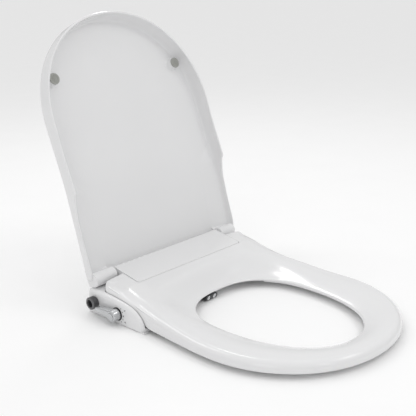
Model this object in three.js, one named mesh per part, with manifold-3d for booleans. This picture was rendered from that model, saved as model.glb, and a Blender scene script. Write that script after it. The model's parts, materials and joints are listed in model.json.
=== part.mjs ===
// Bidet seat, worked by water pressure: mounting plate, base with nozzles and dampers, control wing with
// a lever valve, seat ring and lid. Millimetres, +Z up, -Y towards the front of the seat, +X to the right
// as seen from the front. The origin is the middle of the bolt line, on the bowl's top face.
import * as THREE from "three";
import { LoftGeometry } from "three/addons/geometries/LoftGeometry.js";
import { mergeVertices } from "three/addons/utils/BufferGeometryUtils.js";
import Module from "manifold-3d";

const wasm = await Module();
wasm.setup();

// ---- driving dimensions ----
const SEAT_WIDTH = 360;
const SEAT_FRONT_Y = -411;
const WIDEST_Y = -229; // where the round front meets the tapering sides
const FRONT_POWER = 2.08; // exponent of the front's superellipse
const SIDE_TAPER = 9.5; // how much narrower each side is from TAPER_END_Y to the rear
const TAPER_END_Y = -60;
const SEAT_REAR_Y = -33; // front edge of the base cover
const EAR_FRONT_Y = -49; // the ear's solid root reaches into the ring's rear corner
const EAR_REAR_Y = 6;
const EAR_INNER_X = 126.4;
const RING_TOP = 24;
const REAR_TOP = 52.6; // seat height along the cover's front edge
const COVER_SLOPE = 0.19;
const RING_BOTTOM = 8;
const SIDE_BOTTOM = [[-97, 8], [-91, 14], [-81, 20.5], [-67, 28], [-50, 34], [-25, 36.5], [6, 39.5]]; // [y, z]
const SHOULDER_FALL = 4; // how much lower the seat's rear is at its sides than in the middle
const SKIN = 3;

const HOLE = { y: -200.5, halfWidth: 106.6, front: 160.7, rear: 111.3, frontPower: 2.16, rearPower: 2.48 };
const HOLE_EDGE = 11.5; // underside of the hole's edge
const HOLE_EDGE_REAR = 13;
const HOLE_LIP = 3.2;

const HINGE_Y = 26;
const HINGE_Z = 54.5;
const LID_OPEN_DEG = 112;
const BARREL_R = 12;
const BARREL_INNER_X = 129.5;
const BARREL_OUTER_X = 167;
const COVER_HALF_X = 125.4;
const LUG_OUTER_X = 129.1; // the seat's hinge lugs stand between the cover and the lid's barrels
const LUG_R = 9.5;
const SHAFT_R = 4;

const LID_INSET = 3; // lid outline inside the seat outline
const LID_SKIN = 3.5;
const LID_TOP_Z = 54.8; // closed lid, outside, over the front of the ring
const LID_RAMP_Y = -132; // behind this line the closed lid rises over the base
const LID_RAMP_SLOPE = 0.114;
const LID_REAR_Y = 33;
const SKIRT_STEP_Y = -114; // behind this line the skirt is cut away over the wing
const SKIRT_SIDE_Z = 24.5;
const SKIRT_REAR = [[-105, 31], [-90, 37], [-74, 41], [-40, 45], [11, 49]]; // [y, z] of the rear rim

const BASE_HALF_X = 124.6;
const PAN_HALF_X = 140;
const PAN_FRONT_Y = -72;
const PAN_REAR_Y = 34;
const PAN_TOP = 22;
const WALL = 2.5;
const FLOOR_Z = 7;
const PLATE_TOP = 4.3;
const GAP = 0.3;

const WING_OUTER_X = -178;
const LEVER = { y: -38, z: 17 };
const INLET = { y: 16.5, z: 22, r: 10.4, bore: 6.5, endX: -190 };

const NOZZLE_R = 4;
const NOZZLE_X = 7; // each nozzle's distance from the housing's middle
const NOZZLE_TIP = { x: -13, y: -86, z: 5.4 };
const NOZZLE_TILT = THREE.MathUtils.degToRad(10);
const NOZZLE_LENGTH = 76;

// ---- materials ----
const plastic = (color, roughness, metalness = 0) =>
  new THREE.MeshStandardMaterial({ color, roughness, metalness });
const COLOURS = {
  white: 0xf1f1f0,
  grey: 0xa6a7a0,
  dark: 0x4d4f52,
  black: 0x222325,
  silver: 0xc2c5c8,
  steel: 0x9a9da0,
  hose: 0xd8dadb,
};

// ---- solids ----
// A closed geometry as a manifold-3d solid; triangles that have shrunk to a line are left out.
function solid(geometry) {
  const bare = new THREE.BufferGeometry().setAttribute("position", geometry.getAttribute("position"));
  bare.setIndex(geometry.index);
  const merged = mergeVertices(bare, 1e-3);
  const kept = [];
  const index = merged.index.array;
  for (let i = 0; i < index.length; i += 3) {
    const [a, b, c] = [index[i], index[i + 1], index[i + 2]];
    if (a !== b && b !== c && c !== a) kept.push(a, b, c);
  }
  return new wasm.Manifold(
    new wasm.Mesh({
      numProp: 3,
      vertProperties: merged.attributes.position.array,
      triVerts: new Uint32Array(kept),
    }),
  );
}

const join = (...parts) => parts.reduce((sum, part) => sum.add(part));
const cut = (body, ...tools) => tools.reduce((rest, tool) => rest.subtract(tool), body);

function block(x0, x1, y0, y1, z0, z1) {
  const box = new THREE.BoxGeometry(x1 - x0, y1 - y0, z1 - z0);
  return solid(box.translate((x0 + x1) / 2, (y0 + y1) / 2, (z0 + z1) / 2));
}

// A round bar along X between two x values.
function barX(x0, x1, y, z, r, sides = 28) {
  const bar = new THREE.CylinderGeometry(r, r, Math.abs(x1 - x0), sides);
  return solid(bar.rotateZ(Math.PI / 2).translate((x0 + x1) / 2, y, z));
}

// A round bar along Z between two z values.
function barZ(x, y, z0, z1, r, sides = 28) {
  const bar = new THREE.CylinderGeometry(r, r, z1 - z0, sides);
  return solid(bar.rotateX(Math.PI / 2).translate(x, y, (z0 + z1) / 2));
}

const shapeOf = (points) => new THREE.Shape(points.map(([a, b]) => new THREE.Vector2(a, b)));

// A plan outline of [x, y] points, raised from z0 to z1.
function plate(points, z0, z1) {
  const raised = new THREE.ExtrudeGeometry(shapeOf(points), { depth: z1 - z0, bevelEnabled: false });
  return solid(raised.translate(0, 0, z0));
}

// A side profile of [y, z] points, run from x0 to x1, with an optional rounded edge at the x0 end.
function profileX(points, x0, x1, bevel = 0) {
  const options = { depth: x1 - x0, bevelEnabled: false };
  if (bevel > 0) {
    options.depth = x1 - x0 - 2 * bevel;
    options.bevelEnabled = true;
    options.bevelThickness = bevel;
    options.bevelSize = bevel;
    options.bevelOffset = -bevel;
    options.bevelSegments = 3;
  }
  const run = new THREE.ExtrudeGeometry(shapeOf(points), options);
  // the extrusion's own x, y, z become the part's y, z, x
  const turn = new THREE.Matrix4().makeBasis(
    new THREE.Vector3(0, 1, 0),
    new THREE.Vector3(0, 0, 1),
    new THREE.Vector3(1, 0, 0),
  );
  return solid(run.applyMatrix4(turn).translate(x0 + bevel, 0, 0));
}

function hose(points, r) {
  const path = new THREE.CatmullRomCurve3(points.map((p) => new THREE.Vector3(...p)));
  const ring = new THREE.Shape().absarc(0, 0, r, 0, 2 * Math.PI);
  const options = { steps: 26, curveSegments: 5, extrudePath: path, bevelEnabled: false };
  return solid(new THREE.ExtrudeGeometry(ring, options));
}

function mesh(name, body, material) {
  const { vertProperties, triVerts } = body.getMesh();
  const geometry = new THREE.BufferGeometry();
  geometry.setAttribute("position", new THREE.BufferAttribute(new Float32Array(vertProperties), 3));
  geometry.setIndex(new THREE.BufferAttribute(new Uint32Array(triVerts), 1));
  geometry.computeVertexNormals();
  const part = new THREE.Mesh(geometry, material);
  part.name = name;
  return part;
}

// ---- outlines and heights that the seat and the lid share ----
function halfWidth(y) {
  if (y > WIDEST_Y) {
    return SEAT_WIDTH / 2 - SIDE_TAPER * THREE.MathUtils.smoothstep(y, WIDEST_Y, TAPER_END_Y);
  }
  const along = Math.min(1, (WIDEST_Y - y) / (WIDEST_Y - SEAT_FRONT_Y));
  return (SEAT_WIDTH / 2) * (1 - along ** FRONT_POWER) ** (1 / FRONT_POWER);
}

// The round front from the right side to the left side, inset, as [x, y].
function frontArc(inset, steps) {
  const points = [];
  for (let i = 0; i <= steps; i++) {
    const a = (Math.PI * i) / steps;
    const c = Math.cos(a);
    const s = Math.sin(a);
    const x = (SEAT_WIDTH / 2 - inset) * Math.sign(c) * Math.abs(c) ** (2 / FRONT_POWER);
    const y = WIDEST_Y - (WIDEST_Y - SEAT_FRONT_Y - inset) * Math.abs(s) ** (2 / FRONT_POWER);
    points.push([x, y]);
  }
  return points;
}

// The whole outline, anticlockwise from the rear left corner, seen from above.
function outline(inset, rearY, sideOf, arcSteps = 28, sideSteps = 5) {
  const left = [];
  for (let i = 0; i < sideSteps; i++) {
    const y = THREE.MathUtils.lerp(rearY, WIDEST_Y, i / sideSteps);
    left.push([-(sideOf(y) - inset), y]);
  }
  const right = left.map(([x, y]) => [-x, y]).reverse();
  return [...left, ...frontArc(inset, arcSteps).reverse(), ...right];
}

function seatTop(y) {
  if (y > SEAT_REAR_Y) return REAR_TOP + COVER_SLOPE * (y - SEAT_REAR_Y);
  const rise = THREE.MathUtils.clamp((y - WIDEST_Y) / (SEAT_REAR_Y - WIDEST_Y), 0, 1);
  return RING_TOP + (REAR_TOP - RING_TOP) * rise ** 2;
}

// ---- seat ----
// How far a point of the outline belongs to the broad shoulders at the seat's rear, from 0 to 1.
const shoulder = (x, y) =>
  THREE.MathUtils.smoothstep(y, -150, -40) * THREE.MathUtils.smoothstep(Math.abs(x), EAR_INNER_X, 150);

// Height along a row of [y, z] points.
function heightAlong(row, y) {
  if (y <= row[0][0]) return row[0][1];
  for (let i = 1; i < row.length; i++) {
    const [[y0, z0], [y1, z1]] = [row[i - 1], row[i]];
    if (y <= y1) return THREE.MathUtils.lerp(z0, z1, (y - y0) / (y1 - y0));
  }
  return row.at(-1)[1];
}

function holePoint(angle, grow = 0) {
  const c = Math.cos(angle);
  const s = Math.sin(angle);
  const power = s < 0 ? HOLE.frontPower : HOLE.rearPower;
  const reach = (s < 0 ? HOLE.front : HOLE.rear) + grow;
  const x = (HOLE.halfWidth + grow) * Math.sign(c) * Math.abs(c) ** (2 / power);
  const y = HOLE.y + reach * Math.sign(s) * Math.abs(s) ** (2 / power);
  return [x, y];
}

// Where a ray from the hole's centre leaves the ring's outline.
function ringEdge(angle) {
  const dx = Math.cos(angle);
  const dy = Math.sin(angle);
  let near = 0;
  let far = 400;
  for (let i = 0; i < 30; i++) {
    const mid = (near + far) / 2;
    const x = Math.abs(dx * mid);
    const y = HOLE.y + dy * mid;
    const inside = y < SEAT_REAR_Y && y > SEAT_FRONT_Y && x < halfWidth(y);
    if (inside) near = mid;
    else far = mid;
  }
  return [dx * near, HOLE.y + dy * near];
}

function holeAngle(direction) {
  const wanted = Math.atan2(Math.sin(direction), Math.cos(direction));
  let best = 0;
  let error = Infinity;
  for (let i = 0; i < 720; i++) {
    const a = (i / 720) * 2 * Math.PI;
    const [x, y] = holePoint(a);
    const off = Math.abs(Math.atan2(y - HOLE.y, x) - wanted);
    const turn = Math.min(off, 2 * Math.PI - off);
    if (turn < error) [best, error] = [a, turn];
  }
  return best;
}

// One closed section of the ring's shell, from its outer wall over the top to the hole and back underneath.
function ringSection(direction) {
  const outer = new THREE.Vector2(...ringEdge(direction));
  const inner = new THREE.Vector2(...holePoint(holeAngle(direction)));
  const width = outer.distanceTo(inner);
  const bottom = heightAlong(SIDE_BOTTOM, outer.y);
  const top = seatTop(outer.y);
  const broad = shoulder(outer.x, outer.y);
  const fall = SHOULDER_FALL * broad;
  const at = (inset, z) => {
    const p = outer.clone().lerp(inner, inset / width);
    return new THREE.Vector3(p.x, p.y, z);
  };
  const edge = THREE.MathUtils.lerp(HOLE_EDGE, HOLE_EDGE_REAR, THREE.MathUtils.smoothstep(inner.y, -150, -95));
  const dip = (f) => {
    const fall = THREE.MathUtils.clamp((f - 0.4) / 0.6, 0, 1);
    return top - (top - edge - HOLE_LIP) * (0.5 - 0.5 * Math.cos(Math.PI * fall));
  };
  const crown = [0.4, 0.62, 0.78, 0.9];
  const above = [
    at(0.8, bottom),
    at(0, bottom + 1),
    at(0, Math.max(bottom + 2, top - 12 - fall)),
    at(3 + 4 * broad, top - 5.5 - fall),
    at(7.5 + 9 * broad, top - 1.6 - 0.7 * fall),
    ...crown.map((f) => at(f * width, dip(f))),
    at(width - 0.6, edge + HOLE_LIP),
    at(width, edge),
  ];
  const below = [
    at(width - SKIN, edge),
    ...crown.toReversed().map((f) => at(Math.min(f * width, width - 1.6 * SKIN), dip(f) - SKIN)),
    at(7 + SKIN / 2 + 9 * broad, top - 2 - SKIN - 0.7 * fall),
    at(SKIN + broad, Math.max(bottom + 1, top - 11 - fall)),
    at(SKIN, bottom),
  ];
  return [...above, ...below];
}

function seatRing() {
  const sections = [];
  const steps = 60;
  for (let i = 0; i <= steps; i++) {
    sections.push(ringSection((2 * Math.PI * (i % steps)) / steps).toReversed());
  }
  return solid(new LoftGeometry(sections));
}

// Cross-section of the ear, falling off to the outside, sloped with the seat's rear.
function earCrown() {
  const section = [[120, 10], [170.1, 10], [170.1, 37.5], [169.3, 40], [166.9, 42.7], [161.4, 46.5]];
  section.push([153.3, 49.5], [146, 50.8], [126, 52.4], [120, 52.6]);
  const run = new THREE.ExtrudeGeometry(shapeOf(section), { depth: 120, bevelEnabled: false });
  run.rotateX(Math.PI / 2).translate(0, 60, 0);
  const drop = -COVER_SLOPE * SEAT_REAR_Y;
  const slope = new THREE.Matrix4().set(1, 0, 0, 0, 0, 1, 0, 0, 0, COVER_SLOPE, 1, drop, 0, 0, 0, 1);
  return solid(run).transform(slope.elements);
}

function seatEar(side) {
  const profile = [
    [EAR_FRONT_Y, 34.5],
    [-4, 39.5],
    [EAR_REAR_Y - 2, 41],
    [EAR_REAR_Y, 46],
    [EAR_REAR_Y - 1.5, seatTop(EAR_REAR_Y) - 4],
    [EAR_REAR_Y - 6, seatTop(EAR_REAR_Y - 6) - 0.4],
    [SEAT_REAR_Y, seatTop(SEAT_REAR_Y)],
    [EAR_FRONT_Y, seatTop(EAR_FRONT_Y) - 1.2],
  ];
  const arm = [[-8, 44]];
  for (let i = 0; i <= 14; i++) {
    const a = -Math.PI / 2 + (Math.PI * i) / 14;
    arm.push([HINGE_Y + LUG_R * Math.cos(a), HINGE_Z + LUG_R * Math.sin(a)]);
  }
  arm.push([-8, 57]);
  const bar = barX(EAR_INNER_X - 2, EAR_INNER_X + 6, HINGE_Y, HINGE_Z, SHAFT_R + 0.2);
  const right = cut(
    join(
      profileX(profile, EAR_INNER_X, 171).intersect(earCrown()),
      profileX(arm, EAR_INNER_X - 0.2, LUG_OUTER_X),
    ),
    bar,
  );
  return side > 0 ? right : right.mirror([1, 0, 0]);
}

function seatTopShell() {
  return join(seatRing(), seatEar(1), seatEar(-1));
}

// The plate that closes the ring from below, open at the rear where the base reaches under the seat.
function seatBottom() {
  const outside = plate(outline(SKIN + 0.6, -120, halfWidth), RING_BOTTOM + 0.4, RING_BOTTOM + 2.6);
  const hole = [];
  for (let i = 0; i < 48; i++) hole.push(holePoint((2 * Math.PI * i) / 48, SKIN + 0.8));
  return cut(outside, plate(hole, 0, 20), block(-88, 88, -140, 0, 0, 20));
}

function seatBumper(x, y) {
  return barZ(x, y, 0, RING_BOTTOM + 0.1, 8, 20);
}

// ---- lid, made closed and then turned open about the hinge ----
const lidSide = (y) => SEAT_WIDTH / 2 - 1.5 * Math.max(0, (y - WIDEST_Y) / (LID_REAR_Y - 19 - WIDEST_Y)) ** 2;
const lidTop = (y) => LID_TOP_Z + LID_RAMP_SLOPE * Math.max(0, y - LID_RAMP_Y);

// Height of the closed skirt's rim, just clear of the seat's rounded edge.
const skirtRim = (y) => Math.min(seatTop(y) - 1.9, SKIRT_SIDE_Z);

function lidProfile(drop, thickness) {
  const ys = [SEAT_FRONT_Y - 20, LID_RAMP_Y, LID_REAR_Y];
  const top = ys.map((y) => [y, lidTop(y) - drop]);
  const below = ys.toReversed().map((y) => [y, lidTop(y) - drop - thickness]);
  return [...below, ...top];
}

function lidClosed() {
  const outside = outline(LID_INSET, LID_REAR_Y, lidSide);
  const inside = outline(LID_INSET + LID_SKIN, LID_REAR_Y + 20, lidSide);
  const roof = profileX(lidProfile(0, LID_SKIN), -200, 200);
  const panel = plate(outside, 0, 100).intersect(roof);
  const rim = [];
  for (let y = SEAT_FRONT_Y - 10; y < SKIRT_STEP_Y; y += 24) rim.push([y, skirtRim(y)]);
  rim.push([SKIRT_STEP_Y, SKIRT_SIDE_Z], ...SKIRT_REAR, [LID_REAR_Y, 60]);
  const upTo = [LID_REAR_Y, LID_RAMP_Y, SEAT_FRONT_Y - 10].map((y) => [y, lidTop(y) - 1]);
  const band = profileX([...rim, ...upTo], -200, 200);
  const skirt = cut(plate(outside, 0, 100), plate(inside, -1, 101)).intersect(band);
  const shell = join(panel, skirt);
  const ends = [-1, 1].map((side) => hingeBarrel(side));
  return join(shell, ...ends);
}

// A barrel with its web up to the lid's underside.
function hingeBarrel(side) {
  const [x0, x1] = side > 0 ? [BARREL_INNER_X, BARREL_OUTER_X] : [-BARREL_OUTER_X, -BARREL_INNER_X];
  const web = [
    [HINGE_Y - BARREL_R + 2, HINGE_Z],
    [HINGE_Y + 6, HINGE_Z],
    [HINGE_Y + 6, lidTop(HINGE_Y) - 1],
    [HINGE_Y - BARREL_R - 4, lidTop(HINGE_Y - BARREL_R) - 1],
  ];
  const bore = barX(side * (BARREL_INNER_X - 1), side * (BARREL_OUTER_X - 8), HINGE_Y, HINGE_Z, SHAFT_R + 0.3);
  return cut(join(barX(x0, x1, HINGE_Y, HINGE_Z, BARREL_R), profileX(web, x0, x1)), bore);
}

const LID_BUMPER = { x: 138, y: -307, r: 9.5, faceZ: 38.5, thickness: 3 };

function lidBoss(side) {
  const z0 = LID_BUMPER.faceZ + LID_BUMPER.thickness + GAP;
  return barZ(side * LID_BUMPER.x, LID_BUMPER.y, z0, LID_TOP_Z - 1, LID_BUMPER.r + 1, 24);
}

function openLid(body) {
  const turn = new THREE.Matrix4().makeRotationX(-THREE.MathUtils.degToRad(LID_OPEN_DEG));
  const toAxis = new THREE.Matrix4().makeTranslation(0, -HINGE_Y, -HINGE_Z);
  const back = new THREE.Matrix4().makeTranslation(0, HINGE_Y, HINGE_Z);
  return body.transform(back.multiply(turn).multiply(toAxis).elements);
}

// ---- base ----
const coverTop = (y) => REAR_TOP + COVER_SLOPE * (y - SEAT_REAR_Y);
const COVER_FRONT_Y = SEAT_REAR_Y + 0.8;
const COVER_REAR_Y = 31;
const COVER_REAR_R = 10.2; // the cover's rear is round about the hinge, inside the lid's sweep
const COVER_SKIN = 2.2;
const COVER_WALL_BOTTOM = 44;

// Side profile of the cover, or of the room inside it: flat sloping top and a round rear.
function coverProfile(front, radius, drop, bottom) {
  const rear = [];
  for (let i = 0; i <= 10; i++) {
    const a = THREE.MathUtils.degToRad(-60 + 13 * i);
    rear.push([HINGE_Y + radius * Math.cos(a), HINGE_Z + radius * Math.sin(a)]);
  }
  return [[front, bottom], [rear[0][0], bottom], ...rear, [front, coverTop(front) - drop]];
}

function baseCover() {
  const profile = coverProfile(COVER_FRONT_Y, COVER_REAR_R, 0, COVER_WALL_BOTTOM);
  const body = profileX(profile, -COVER_HALF_X, COVER_HALF_X);
  const room = coverProfile(COVER_FRONT_Y + COVER_SKIN, COVER_REAR_R - COVER_SKIN, COVER_SKIN, 20);
  const insideX = COVER_HALF_X - COVER_SKIN;
  const shafts = [-1, 1].map((s) => barX(s * (insideX - 1), s * 128, HINGE_Y, HINGE_Z, SHAFT_R + 0.6));
  return cut(body, profileX(room, -insideX, insideX), ...shafts);
}

const DAMPER = { r: 6.5, inner: 64, outer: 112 };

function baseHousing() {
  const upper = block(-BASE_HALF_X, BASE_HALF_X, COVER_FRONT_Y, COVER_REAR_Y, 0, COVER_WALL_BOTTOM - GAP);
  const pan = block(-PAN_HALF_X, PAN_HALF_X, PAN_FRONT_Y, PAN_REAR_Y, 0, PAN_TOP);
  const upperRoom = block(
    -BASE_HALF_X + WALL,
    BASE_HALF_X - WALL,
    COVER_FRONT_Y + WALL,
    COVER_REAR_Y - WALL,
    FLOOR_Z,
    80,
  );
  const panRoom = block(
    -PAN_HALF_X + WALL,
    PAN_HALF_X - WALL,
    PAN_FRONT_Y + WALL,
    PAN_REAR_Y - WALL,
    FLOOR_Z,
    PAN_TOP - WALL,
  );
  const plateRoom = block(-98, 98, -36, PAN_REAR_Y + 1, -1, PLATE_TOP + GAP);
  const sideHole = block(-PAN_HALF_X - 1, -PAN_HALF_X + 4, -54, -26, 9, 19);
  const [holeX0, holeX1] = [NOZZLE_TIP.x - 18, NOZZLE_TIP.x + 18];
  const nozzleHole = join(
    block(holeX0, holeX1, PAN_FRONT_Y - 1, COVER_FRONT_Y + WALL + 1, FLOOR_Z, 60),
    block(holeX0, holeX1, PAN_FRONT_Y - 1, -44, 2.4, FLOOR_Z + 1),
  );
  const buttonHole = block(PAN_HALF_X - 4, PAN_HALF_X + 1, -14.4, 14.4, 7.6, 16.4);
  const cradles = [-1, 1].map((s) => {
    const [x0, x1] = s > 0 ? [DAMPER.inner, DAMPER.outer] : [-DAMPER.outer, -DAMPER.inner];
    const stand = block(x0 + 4, x1 - 4, HINGE_Y - 7, COVER_REAR_Y - 1, FLOOR_Z - 1, HINGE_Z - 3);
    return cut(stand, barX(x0 - 1, x1 + 1, HINGE_Y, HINGE_Z, DAMPER.r + GAP));
  });
  const shell = cut(join(upper, pan), upperRoom, panRoom, plateRoom, sideHole, nozzleHole, buttonHole);
  return cut(join(shell, ...cradles), block(-130, 130, COVER_REAR_Y - 2.6, 60, 44, 80));
}

function mountingPlate() {
  const body = block(-95, 95, -33, 30, 0, PLATE_TOP);
  const slots = [-1, 1].map((s) => {
    const slot = [];
    for (let i = 0; i <= 12; i++) {
      const a = Math.PI / 2 + (Math.PI * i) / 12;
      slot.push([60 + 3.6 * Math.cos(a), 3.6 * Math.sin(a)]);
    }
    for (let i = 0; i <= 12; i++) {
      const a = -Math.PI / 2 + (Math.PI * i) / 12;
      slot.push([86 + 3.6 * Math.cos(a), 3.6 * Math.sin(a)]);
    }
    const tool = plate(slot, -1, 10);
    return s > 0 ? tool : tool.mirror([1, 0, 0]);
  });
  return cut(body, ...slots);
}

const damperBody = (s) => barX(s * DAMPER.inner, s * DAMPER.outer, HINGE_Y, HINGE_Z, DAMPER.r);
const damperShaft = (s) =>
  barX(s * (DAMPER.outer + GAP), s * (BARREL_OUTER_X - 9), HINGE_Y, HINGE_Z, SHAFT_R - 0.1);

// ---- control wing, on the user's right-hand side ----
const WING_SIDE = [
  [-101, 0.4],
  [-101.5, 7],
  [-97, 18],
  [-88, 27],
  [-72, 33.5],
  [-50, 38],
  [-20, 41.5],
  [6, 42],
  [20, 41.3],
  [31, 41.3],
  [35.6, 38],
  [37, 31],
  [37, 0.4],
];

function controlWing() {
  const body = profileX(WING_SIDE, WING_OUTER_X, -PAN_HALF_X - 0.4, 4);
  const room = WING_SIDE.map(([y, z]) => [y * 0.93 - 1.6, Math.max(-2, (z - 1) * 0.92)]);
  const inside = profileX(room, WING_OUTER_X + WALL, -PAN_HALF_X + 4);
  // the seat and its side wall stand over the wing's inner part
  const under = (drop) => [
    [-130, 6 - drop],
    ...SIDE_BOTTOM.map(([y, z]) => [y, z - 1.5 - drop]),
    [60, SIDE_BOTTOM.at(-1)[1] - 1.5 - drop],
    [60, 80],
    [-130, 80],
  ];
  const around = (grow) => plate(outline(-grow, 60, halfWidth), 0, 80);
  const seatRoom = around(1.2).intersect(profileX(under(0), -200, 0));
  const lowRoof = around(1.2 + WALL).intersect(profileX(under(1.8), -200, 0));
  const leverHole = barX(WING_OUTER_X - 1, WING_OUTER_X + 6, LEVER.y, LEVER.z, 6.4);
  const inletHole = barX(WING_OUTER_X - 1, WING_OUTER_X + 6, INLET.y, INLET.z, INLET.r + GAP);
  return cut(body, cut(inside, lowRoof), seatRoom, leverHole, inletHole);
}

function dialRing() {
  const ring = barX(WING_OUTER_X - 0.3, WING_OUTER_X - 1.5, LEVER.y, LEVER.z, 12, 36);
  return cut(ring, barX(WING_OUTER_X - 2, WING_OUTER_X + 2, LEVER.y, LEVER.z, 6.4, 36));
}

function leverHandle() {
  const paddle = [
    [LEVER.y - 2, LEVER.z - 9],
    [LEVER.y + 10, LEVER.z - 8],
    [LEVER.y + 37, LEVER.z - 4],
    [LEVER.y + 41, LEVER.z],
    [LEVER.y + 37, LEVER.z + 4],
    [LEVER.y + 10, LEVER.z + 8],
    [LEVER.y - 2, LEVER.z + 9],
  ];
  const hub = barX(WING_OUTER_X - 2, WING_OUTER_X - 15, LEVER.y, LEVER.z, 9.5);
  const body = join(hub, profileX(paddle, WING_OUTER_X - 15, WING_OUTER_X - 4));
  return cut(body, barX(WING_OUTER_X - 1, WING_OUTER_X - 10, LEVER.y, LEVER.z, 4.3, 20));
}

const leverCap = () => barX(WING_OUTER_X - 15.3, WING_OUTER_X - 16.5, LEVER.y, LEVER.z, 6.5, 24);
const valveSpindle = () => barX(WING_OUTER_X - 9.6, WING_OUTER_X + 5.1, LEVER.y, LEVER.z, 4, 20);

function valveBody() {
  const body = join(
    barX(WING_OUTER_X + 3, WING_OUTER_X + 9.2, LEVER.y, LEVER.z, 9.5),
    block(WING_OUTER_X + 8, WING_OUTER_X + 33, LEVER.y - 9, LEVER.y + 24, 9, 22.6),
  );
  const bore = barX(WING_OUTER_X + 2, WING_OUTER_X + 8, LEVER.y, LEVER.z, 6.8);
  const port = block(WING_OUTER_X + 14, WING_OUTER_X + 24, LEVER.y + 12, LEVER.y + 25, 12, 20);
  return cut(body, bore, port);
}

const valveDisc = () => barX(WING_OUTER_X + 5.4, WING_OUTER_X + 7.6, LEVER.y, LEVER.z, 6.4, 24);

function inletNipple() {
  const thread = [];
  const pitch = 1.8;
  const turns = 6;
  const [x0, y0, z0] = [INLET.endX, INLET.y, INLET.z];
  for (let i = 0; i < turns; i++) {
    thread.push(barX(x0 + 0.6 + i * pitch, x0 + 1.5 + i * pitch, y0, z0, INLET.r, 24));
  }
  const core = barX(x0, x0 + 12, y0, z0, INLET.r - 0.9, 24);
  const neck = barX(x0 + 11, x0 + 26, y0, z0, INLET.r - 1.5, 24);
  return cut(join(core, neck, ...thread), barX(x0 - 1, x0 + 27, y0, z0, INLET.bore, 24));
}

function inletFilter() {
  const [x0, y0, z0] = [INLET.endX + 3, INLET.y, INLET.z];
  return cut(barX(x0, x0 + 3, y0, z0, INLET.bore - GAP, 24), barX(x0 - 1, x0 + 1.8, y0, z0, 4.6, 24));
}

// ---- nozzles ----
const nozzleDirection = new THREE.Vector3(0, -Math.cos(NOZZLE_TILT), -Math.sin(NOZZLE_TILT));

// A round bar along the nozzle direction; distances run back from the nozzle tip.
function nozzleBar(x, from, to, r, sides = 24) {
  const bar = new THREE.CylinderGeometry(r, r, to - from, sides);
  const way = new THREE.Quaternion().setFromUnitVectors(new THREE.Vector3(0, 1, 0), nozzleDirection);
  const middle = nozzleDirection.clone().multiplyScalar(-(from + to) / 2);
  bar.applyQuaternion(way);
  return solid(bar.translate(NOZZLE_TIP.x + x, NOZZLE_TIP.y + middle.y, NOZZLE_TIP.z + middle.z));
}

function nozzleBlock(x0, x1, from, to, low, high) {
  const box = new THREE.BoxGeometry(x1 - x0, to - from, high - low);
  box.translate((x0 + x1) / 2, (from + to) / 2, (low + high) / 2).rotateX(NOZZLE_TILT);
  return solid(box.translate(NOZZLE_TIP.x, NOZZLE_TIP.y, NOZZLE_TIP.z));
}

function nozzleHousing() {
  const body = nozzleBlock(-15, 15, -3, 58, -4.6, 5.4);
  const bores = [-1, 1].map((s) => nozzleBar(s * NOZZLE_X, -20, 80, NOZZLE_R + 0.3));
  return cut(body, ...bores);
}

function nozzleTube(x) {
  const tube = nozzleBar(x, 3.3, NOZZLE_LENGTH, NOZZLE_R);
  return cut(tube, nozzleBar(x, 10, NOZZLE_LENGTH + 5, 2.6, 16));
}

function nozzleTip(x) {
  return nozzleBar(x, -2, 3, NOZZLE_R);
}

const MANIFOLD_END = NOZZLE_LENGTH + 11;

function nozzleManifold() {
  const body = nozzleBlock(-14, 14, NOZZLE_LENGTH + 1, MANIFOLD_END, -6, 6);
  const ports = [-1, 1].map((s) => nozzleBar(s * NOZZLE_X, NOZZLE_LENGTH, NOZZLE_LENGTH + 5, 3, 16));
  return cut(body, ...ports);
}

// A hose from the valve's inner end to the back of a nozzle, through the points between.
function washHose(x, y, z, ...between) {
  const end = nozzleDirection.clone().multiplyScalar(-(MANIFOLD_END + 2.6));
  const start = [WING_OUTER_X + 33.6, y, z];
  const last = [NOZZLE_TIP.x + x, NOZZLE_TIP.y + end.y, NOZZLE_TIP.z + end.z];
  return hose([start, [-125, y, z], ...between, last], 2.4);
}

const REAR_ROUTE = [[-108, -40, 13], [-78, -18, 14], [-50, 0, 17], [-27, 10, 20]];
const FRONT_ROUTE = [[-108, -24, 15], [-86, 2, 16], [-62, 13, 18], [-36, 18, 21], [-14, 13, 22]];
const rearWashHose = () => washHose(-NOZZLE_X, LEVER.y - 4, 12.5, ...REAR_ROUTE);
const frontWashHose = () => washHose(NOZZLE_X, LEVER.y + 4, 15.5, ...FRONT_ROUTE);

// ---- quick release ----
function releaseButton() {
  return join(
    block(PAN_HALF_X - 3.5, PAN_HALF_X + 3, -14, 14, 8, 16),
    block(PAN_HALF_X - 14, PAN_HALF_X - 3, -17, 17, 9, 15),
  );
}

const releaseSpring = () => barX(PAN_HALF_X - 26, PAN_HALF_X - 17.5, 0, 12, 3.2, 16);
const springSeat = () => block(PAN_HALF_X - 29, PAN_HALF_X - 26.3, -6, 6, FLOOR_Z + GAP, 16);

// ---- the assembly ----
const white = plastic(COLOURS.white, 0.16);
const grey = plastic(COLOURS.grey, 0.8);
const dark = plastic(COLOURS.dark, 0.35);
const silver = plastic(COLOURS.silver, 0.3, 0.5);
const steel = plastic(COLOURS.steel, 0.35, 1);
const clearHose = plastic(COLOURS.hose, 0.4);
const black = plastic(COLOURS.black, 0.5);

const bidetSeat = new THREE.Group();

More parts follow.
